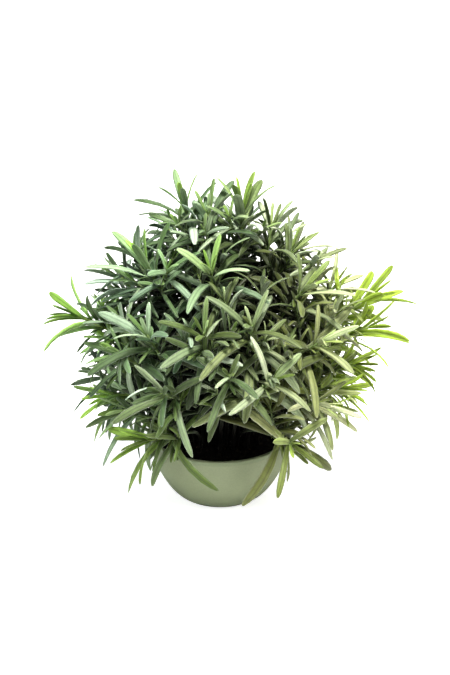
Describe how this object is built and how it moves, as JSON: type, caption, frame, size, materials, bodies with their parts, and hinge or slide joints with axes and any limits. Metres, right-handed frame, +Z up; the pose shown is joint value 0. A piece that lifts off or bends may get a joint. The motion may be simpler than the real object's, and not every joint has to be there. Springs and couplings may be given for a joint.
{
  "type": "potted lavender plant",
  "caption": "Bushy lavender plant without flowers, with narrow grey-green leaves in crossed pairs on square stems, in a small round bowl pot of dark soil.",
  "frame": {"origin": "middle of the pot's flat foot, on the surface that the plant stands on", "axes": "+Z up, out of the pot; +X to the viewer's right and -Y to the front, where the foliage opens and shows the soil"},
  "size_m": [0.3004, 0.2529, 0.2726],
  "materials": {
    "pot": "satin",
    "soil": "matte",
    "foliage": "matte"
  },
  "bodies": {
    "root": {"pot": "pot", "soil": "soil", "shoot_01": "foliage", "shoot_02": "foliage", "shoot_03": "foliage", "shoot_04": "foliage", "shoot_05": "foliage", "shoot_06": "foliage", "shoot_07": "foliage", "shoot_08": "foliage", "shoot_09": "foliage", "shoot_10": "foliage", "shoot_11": "foliage", "shoot_12": "foliage", "shoot_13": "foliage", "shoot_14": "foliage", "shoot_15": "foliage", "shoot_16": "foliage", "shoot_17": "foliage", "shoot_18": "foliage", "shoot_19": "foliage", "shoot_20": "foliage", "shoot_21": "foliage", "shoot_22": "foliage", "shoot_23": "foliage", "shoot_24": "foliage", "shoot_25": "foliage", "shoot_26": "foliage", "shoot_27": "foliage", "shoot_28": "foliage", "shoot_29": "foliage", "shoot_30": "foliage", "shoot_31": "foliage", "shoot_32": "foliage", "shoot_33": "foliage", "shoot_34": "foliage", "shoot_35": "foliage", "shoot_36": "foliage", "shoot_37": "foliage", "shoot_38": "foliage", "shoot_39": "foliage", "shoot_40": "foliage", "shoot_41": "foliage", "shoot_42": "foliage", "shoot_43": "foliage", "shoot_44": "foliage", "shoot_45": "foliage"}
  },
  "joints": []
}
